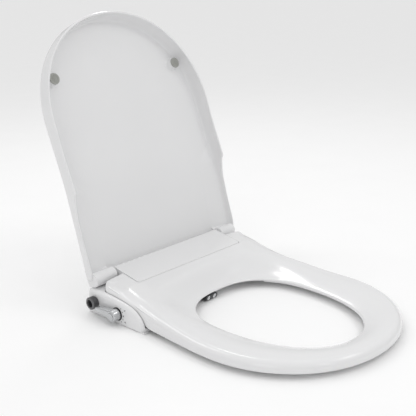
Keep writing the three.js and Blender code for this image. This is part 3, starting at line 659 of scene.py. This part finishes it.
def build_lid():
    panel = lid_shell()
    place_piece(panel, "lid", "lid_shell")
    for side, word in ((-1, "left"), (1, "right")):
        ends = side * LID_BARREL_INNER_X, side * LID_BARREL_OUTER_X[word]
        name = "lid_barrel_" + word
        both = word == "right"  # both ends rounded; the left one ends inside the skirt
        barrel = prism(name, barrel_profile(150.0), *ends, 2.0, WHITE, opened, 6, 40.0, both)
        place_piece(barrel, "lid")
        x, y = side * LID_BUMPER_X, LID_BUMPER_Y
        z0 = LID_BUMPER_Z + 3.3
        top = float(lid_top(x, y)) - LID_SKIN + 0.6
        boss = [(0.0, z0), (9.3, z0), (9.9, z0 + 0.25), (10.3, z0 + 0.8), (10.7, top - 3.2), (11.3, top - 1.6)]
        boss += [(12.6, top - 0.7), (14.0, top - 0.5), (14.0, top + 0.6), (0.0, top + 0.6)]
        place = lambda ring: opened(ring + (x, y, 0))
        piece = lathe("lid_boss_" + word, boss, place, WHITE)
        place_piece(piece, "lid")
        face = lambda ring: opened(ring + (x, y, LID_BUMPER_Z))
        pad = lathe("lid_pad_" + word, bumper_profile(LID_BUMPER_R, 3.0), face, RUBBER, sharp=50.0)
        place_piece(pad, "lid", "lid_bumper_" + word)


build_lid()


# ---- base cover ----
def build_cover():
    front, rear, half = SEAT_REAR_Y + 0.8, HINGE_Y + 10.1, 125.3
    corners = [
        arc(half - 5.2, front + 5.2, 5.2, -90, 0, 10),
        arc(half - 1.5, rear - 1.5, 1.5, 0, 90, 5),
    ]
    right = np.vstack(corners)
    loop = resample(np.vstack([right, (right * (-1, 1))[::-1]]), 2.4)

    wall_foot, skin, edge = 44.0, 2.2, 0.9

    def height(x, y):
        slope = REAR_TOP + COVER_SLOPE * (y - SEAT_REAR_Y)
        round_back = HINGE_Z + np.sqrt(np.maximum(10.2**2 - np.maximum(y - HINGE_Y, 0) ** 2, 0.05))
        return np.where(y > HINGE_Y + 2, np.minimum(slope, round_back), slope)

    shell = Shell()
    foot = np.full(len(loop), wall_foot)
    walls = [np.column_stack([inset(loop, skin), foot]), np.column_stack([loop, foot])]
    for a in np.radians(np.linspace(0, 90, 5)):
        p = inset(loop, edge * (1 - math.cos(a)))
        walls.append(np.column_stack([p, height(p[:, 0], p[:, 1]) - edge * (1 - math.sin(a))]))
    shell.rings(walls)
    shell.fill([walls[-1][:, :2]], height, 4.0)
    inner = inset(loop, skin)
    low = lambda px, py: height(px, py) - skin
    shell.rings([walls[0], np.column_stack([inner, low(inner[:, 0], inner[:, 1])])])
    shell.fill([inner], low, 12.0)
    cover = new_object("cover_plate", shell.verts, shell.faces, WHITE, 40.0)
    place_piece(cover, "base", "base_cover")


build_cover()


# ---- control wing ----
def spline_loop(points, spacing):
    """A smooth closed curve through the points, as an even loop."""
    p = np.array(points, float)
    n = len(p)
    out = []
    for i in range(n):
        a, b, c, d = p[i - 1], p[i], p[(i + 1) % n], p[(i + 2) % n]
        for t in np.linspace(0, 1, 12, endpoint=False):
            square, cube = 2 * a - 5 * b + 4 * c - d, 3 * b - a - 3 * c + d
            out.append(0.5 * (2 * b + (c - a) * t + square * t * t + cube * t**3))
    return resample(np.array(out), spacing)


def seat_room():
    """The space over the wing that the seat's side needs."""
    loop = inset(resample(seat_outline(), 5.0), -1.2)

    def low(x, y):
        return np.interp(y, SIDE_BOTTOM_Y, SIDE_BOTTOM_Z) - 1.4

    shell = Shell()
    ring = np.column_stack([loop, low(loop[:, 0], loop[:, 1])])
    upper = np.column_stack([loop, np.full(len(loop), 90.0)])
    shell.rings([ring, upper])
    shell.fill([loop], low, 9.0)
    shell.fill([loop], lambda x, y: np.full(len(x), 90.0), 20.0)
    return new_object("room", shell.verts, shell.faces, None)


WING_TOP = [(-96.0, 1.5), (-97.0, 6.5), (-95.6, 12.5), (-91.4, 19.4), (-85.0, 25.4), (-75.4, 30.9), (-62.4, 35.0)]
WING_TOP += [(-46.0, 38.1), (-28.0, 40.2), (-10.0, 41.5), (6.0, 41.7), (19.0, 41.2), (29.0, 41.0), (34.5, 38.6)]
WING_TOP += [(36.8, 33.0), (37.0, 20.0), (37.0, 8.0), (36.6, 1.6)]


def build_wing():
    top = spline_loop(WING_TOP + [(30.0, 0.4), (-30.0, 0.4), (-95.0, 0.4)], 2.0)
    top[:, 1] = np.clip(top[:, 1], 0.4, 41.9)
    top[:, 0] = np.clip(top[:, 0], -102.4, 37.0)
    if np.sum(top[:, 0] * np.roll(top[:, 1], -1) - np.roll(top[:, 0], -1) * top[:, 1]) < 0:
        top = top[::-1]
    n = normals_of(top)
    radius = np.where(n[:, 1] < -0.5, 1.2, 7.5)
    radius = np.maximum(smooth_ring(radius, 3), 1.0)
    rings = []
    for a in np.radians(np.linspace(90, 0, 9)):
        p = inset(top, radius * (1 - math.cos(a)))
        rings.append(np.column_stack([WING_X + radius * (1 - math.sin(a)), p]))
    rings.append(np.column_stack([np.full(len(top), WING_INNER_X), top]))
    shell = Shell()
    shell.rings(rings)
    face = lambda p, h: (h, p[0], p[1])
    shell.fill([rings[0][:, 1:]], lambda y, z: np.full(len(y), WING_X), 5.0, face)
    shell.fill([rings[-1][:, 1:]], lambda y, z: np.full(len(y), WING_INNER_X), 12.0, face)
    wing = new_object("wing_body", shell.verts, shell.faces, WHITE, 35.0)
    boolean(wing, seat_room(), "DIFFERENCE")
    finish_mesh(wing, 35.0)
    place_piece(wing, "base", "control_wing")


build_wing()


def along_x(x, way=-1):
    """Places a turned profile on the lever's or inlet's axis: height runs outwards from x."""
    return lambda y, z: (lambda ring: np.column_stack([x + way * ring[:, 2], y + ring[:, 0], z + ring[:, 1]]))


def marks():
    """Small raised dots and ticks round the front half of the dial."""
    pieces = []
    for i, degrees in enumerate((128, 154, 180, 206, 232)):
        a = math.radians(degrees)
        y, z = LEVER_Y + 14.2 * math.cos(a), LEVER_Z + 14.2 * math.sin(a)
        size = 1.25 if i == 2 else 0.85
        dot = [(0.0, 0.34), (size * 0.7, 0.3), (size, 0.12), (size, -0.2), (0.0, -0.2)]
        pieces.append(lathe("dot_%d" % i, dot, along_x(WING_X)(y, z), INK, 14))
    tick = [(18.6, -0.5), (22.6, -0.5), (22.6, 0.5), (18.6, 0.5)]
    arrow = [(19.0, -1.5), (22.6, 0.0), (19.0, 1.5)]
    for i, (degrees, outline) in enumerate(((150, tick), (208, arrow))):
        a = math.radians(degrees)
        shell = Shell()
        rows = []
        for x, grow in ((0.2, 1.0), (-0.12, 1.0), (-0.3, 0.8)):
            corners = np.array(outline)
            middle = corners.mean(0)
            c = middle + (corners - middle) * grow
            y = LEVER_Y + c[:, 0] * math.cos(a) - c[:, 1] * math.sin(a)
            z = LEVER_Z + c[:, 0] * math.sin(a) + c[:, 1] * math.cos(a)
            rows.append(np.column_stack([np.full(len(c), WING_X + x), y, z]))
        ids = shell.rings(rows)
        shell.cap(ids[0])
        shell.cap(ids[-1])
        pieces.append(new_object("tick_%d" % i, shell.verts, shell.faces, INK))
    for piece in pieces:
        place_piece(piece, "base")


def build_lever():
    marks()
    # painted shade: the dark plastic ring showing round the hub stands for the shaded groove between the lever hub
    # and the wing's face
    ring = [(6.6, 0.35), (6.6, 0.9), (7.2, 1.1), (10.5, 1.1), (11.1, 0.8), (11.1, 0.35), (6.6, 0.35)]
    dial = lathe("dial_shade_ring", ring, along_x(WING_X)(LEVER_Y, LEVER_Z), DARK, 56)
    place_piece(dial, "base", "dial_ring")
    hub = [(0.0, 1.6), (9.0, 1.6), (9.5, 2.1), (9.5, 12.6), (9.3, 13.7), (8.6, 14.5), (7.4, 14.9)]
    hub += [(6.7, 14.8), (0.0, 14.8)]
    body = lathe("lever_hub", hub, along_x(WING_X)(LEVER_Y, LEVER_Z), SILVER, 56)
    # the paddle: full depth at the hub, flat on top, tapering to a blunt tip at the rear
    rows = []
    stations = [(1.0, -9.0, 9.0, 13.2), (7.0, -8.6, 8.9, 13.0), (14.0, -6.6, 8.3, 12.8), (22.0, -4.6, 7.3, 12.4)]
    stations += [(30.0, -3.1, 6.2, 12.0), (36.0, -2.2, 5.3, 11.4), (39.4, -1.2, 4.4, 10.4), (40.6, 0.4, 3.0, 8.4)]
    for along, low, high, thick in stations:
        a = np.linspace(0, 2 * np.pi, 28, endpoint=False)
        c, q = np.cos(a), np.sin(a)
        sx = np.sign(c) * np.abs(c) ** 0.45
        sz = np.sign(q) * np.abs(q) ** 0.6
        x = WING_X - 1.8 - 13.0 / 2 + sx * thick / 2
        z = LEVER_Z + (low + high) / 2 + sz * (high - low) / 2
        rows.append(np.column_stack([x, np.full(28, LEVER_Y + along), z]))
    paddle = Shell()
    ids = paddle.rings(rows)
    paddle.cap(ids[0])
    paddle.cap(ids[-1])
    handle = new_object("lever_paddle", paddle.verts, paddle.faces, SILVER, 50.0)
    place_piece(body, "lever", "lever_handle")
    place_piece(handle, "lever")
    cap = [(0.0, 16.3), (4.6, 16.2), (5.9, 15.9), (6.4, 15.4), (6.4, 15.0), (0.0, 15.0)]
    disc = lathe("lever_disc", cap, along_x(WING_X)(LEVER_Y, LEVER_Z), SILVER, 40)
    place_piece(disc, "lever", "lever_cap")


build_lever()


def build_inlet():
    r = 10.4
    profile = [(6.5, 12.0), (6.5, 0.6), (7.0, 0.0), (8.6, 0.0), (9.3, 0.5)]
    pitch = 1.75
    for i in range(6):
        h = 0.7 + i * pitch
        profile += [(9.3, h), (r, h + 0.55), (r, h + 0.85), (9.3, h + 1.4)]
    profile += [(9.3, 11.9), (8.9, 12.1), (8.9, 26.0), (6.5, 26.0)]
    nipple = lathe("inlet_thread", profile, along_x(-190.0, 1)(INLET_Y, INLET_Z), INLET_BLACK, 48, 30.0)
    place_piece(nipple, "base", "inlet_nipple")


build_inlet()


def build_seat_bumpers():
    for i in range(1, 5):
        lo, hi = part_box("seat_bumper_%d" % i)
        cx, cy = (lo.x + hi.x) / 2 / MM, (lo.y + hi.y) / 2 / MM
        face = lambda ring: ring + (cx, cy, 0.0)
        pad = lathe("seat_pad_%d" % i, bumper_profile(8.0, 8.1, 3), face, RUBBER, sharp=50.0)
        place_piece(pad, "seat", "seat_bumper_%d" % i)


build_seat_bumpers()


def build_nozzle_housing():
    """A rounded block along the nozzles' direction with two round mouths."""
    c, s = math.cos(NOZZLE_TILT), math.sin(NOZZLE_TILT)

    def place(rows):
        p = np.asarray(rows, float)
        y = NOZZLE_TIP[1] + p[:, 1] * c - p[:, 2] * s
        return np.column_stack([NOZZLE_TIP[0] + p[:, 0], y, NOZZLE_TIP[2] + p[:, 1] * s + p[:, 2] * c])

    section = np.vstack(
        [
            arc(11.4, -1.2, 3.4, -90, 0, 8),
            arc(9.8, 0.3, 5.0, 0, 90, 10),
            arc(-9.8, 0.3, 5.0, 90, 180, 10),
            arc(-11.4, -1.2, 3.4, 180, 270, 8),
        ]
    )
    rings = []
    for a in np.radians(np.linspace(90, 0, 7)):
        p = inset(section, 2.6 * (1 - math.cos(a)))
        rings.append(np.column_stack([p[:, 0], np.full(len(p), -3.0 + 2.6 * (1 - math.sin(a))), p[:, 1]]))
    rings.append(np.column_stack([section[:, 0], np.full(len(section), 58.0), section[:, 1]]))
    shell = Shell()
    ids = shell.rings([place(r) for r in rings])
    shell.cap(ids[0])
    shell.cap(ids[-1])
    body = new_object("nozzle_body", shell.verts, shell.faces, NOZZLE, 35.0)
    for x in (-NOZZLE_X, NOZZLE_X):
        turned = lambda ring: place(np.column_stack([x + ring[:, 0], ring[:, 2], ring[:, 1]]))
        bore = lathe("bore", [(4.3, -8.0), (4.3, 70.0)], turned, None, 40)
        boolean(body, bore, "DIFFERENCE")
    finish_mesh(body, 35.0)
    place_piece(body, "base", "nozzle_housing")


build_nozzle_housing()


# ---- plain materials on the frame's own nodes ----
NODE_MATERIALS = {
    "white_plastic": WHITE,
    "inner_plastic": INNER,
    "dark_plastic": DARK,
    "nozzle_plastic": NOZZLE,
    "tip_plastic": TIP,
    "button_plastic": BUTTON,
    "satin_lever": SILVER,
    "steel": STEEL,
    "inlet_metal": INLET_BLACK,
    "bumper_rubber": RUBBER,
    "hose_plastic": HOSE,
}
slots = {s["node"]: s["material_slot"] for s in frame["record"]["subparts"]}
for node, obj in frame["nodes"].items():
    material = NODE_MATERIALS[slots[node]]
    if not obj.data.materials:
        obj.data.materials.append(material)
    if node == "inlet_filter":
        material = MESH
    for slot in obj.material_slots:
        slot.material = material
    bevel = obj.modifiers.new("edge", "BEVEL")
    bevel.width = 0.0006
    bevel.segments = 2
    bevel.limit_method = "ANGLE"
    bevel.angle_limit = math.radians(40)
    bevel.harden_normals = True


# ---- stage ----
def area_light(name, location, target, size, power):
    data = bpy.data.lights.new(name, "AREA")
    data.shape = "RECTANGLE"
    data.size, data.size_y = size
    data.energy = power
    obj = bpy.data.objects.new(name, data)
    bpy.context.scene.collection.objects.link(obj)
    obj.location = location
    obj.rotation_mode = "QUATERNION"
    obj.rotation_quaternion = (Vector(target) - Vector(location)).to_track_quat("-Z", "Y")
    return obj


def stage():
    floor = bpy.data.meshes.new("floor")
    reach = 60.0  # metres
    corners = [(x * reach, y * reach, 0) for x, y in ((-1, -1), (1, -1), (1, 1), (-1, 1))]
    floor.from_pydata(corners, [], [(0, 1, 2, 3)])
    obj = bpy.data.objects.new("floor", floor)
    obj.location.z = -0.0004
    bpy.context.scene.collection.objects.link(obj)
    floor.materials.append(moulded("floor_white", (0.97, 0.97, 0.97), 0.9, 0.03, 0.004, 0.0, 100.0))
    obj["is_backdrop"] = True
    world = bpy.data.worlds.new("studio")
    bpy.context.scene.world = world
    world.use_nodes = True
    back = world.node_tree.nodes["Background"]
    nodes, links = world.node_tree.nodes, world.node_tree.links
    coords = nodes.new("ShaderNodeTexCoord")
    split = nodes.new("ShaderNodeSeparateXYZ")
    links.new(coords.outputs["Generated"], split.inputs["Vector"])
    sky = ramp(nodes, links, split.outputs["Z"], [(0.0, (0.50, 0.50, 0.50)), (1.0, (1.0, 1.0, 1.0))])
    links.new(sky.outputs["Color"], back.inputs["Color"])
    back.inputs["Strength"].default_value = 0.98
    area_light("key", (0.9, -1.3, 1.9), (0, -0.15, 0.1), (0.8, 0.5), 4)
    area_light("fill", (-2.0, -0.9, 1.2), (0, -0.1, 0.15), (1.0, 1.0), 3)
    area_light("strip_left", (-0.35, 0.9, 1.5), (0, -0.2, 0), (0.10, 0.7), 2.2)
    area_light("strip_right", (0.75, 0.75, 1.5), (0, -0.2, 0), (0.10, 0.7), 2.2)
    area_light("front", (-0.2, -1.5, 1.1), (0, -0.1, 0.1), (0.12, 0.5), 1.0)
    bpy.context.scene.view_settings.view_transform = "Standard"


SENSOR, IMAGE, FOCAL = 36.0, 416, 761.7  # millimetres, the image's side, the focal length in the image's units
CAMERA_PLACE = (-0.880, -0.8988, 0.5299)  # metres


def camera():
    azimuth, elevation, roll = (math.radians(a) for a in (-46.69, 17.04, -1.11))
    level = math.cos(elevation)
    back = Vector((math.sin(azimuth) * level, -math.cos(azimuth) * level, math.sin(elevation)))
    right = Vector((0, 0, 1)).cross(back).normalized()
    up = back.cross(right)
    x = right * math.cos(roll) + up * math.sin(roll)
    y = up * math.cos(roll) - right * math.sin(roll)
    data = bpy.data.cameras.new("camera")
    data.sensor_width = SENSOR
    data.lens = FOCAL / IMAGE * SENSOR
    data.shift_x = 0.91 / IMAGE
    data.shift_y = -2.07 / IMAGE
    obj = bpy.data.objects.new("camera", data)
    bpy.context.scene.collection.objects.link(obj)
    turn = Matrix((x, y, back)).transposed()
    obj.matrix_world = Matrix.Translation(CAMERA_PLACE) @ turn.to_4x4()
    bpy.context.scene.camera = obj


stage()
camera()

boxes = {"cad": cad_box, "visual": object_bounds()}
{k: [list(c) for c in v] for k, v in boxes.items()}
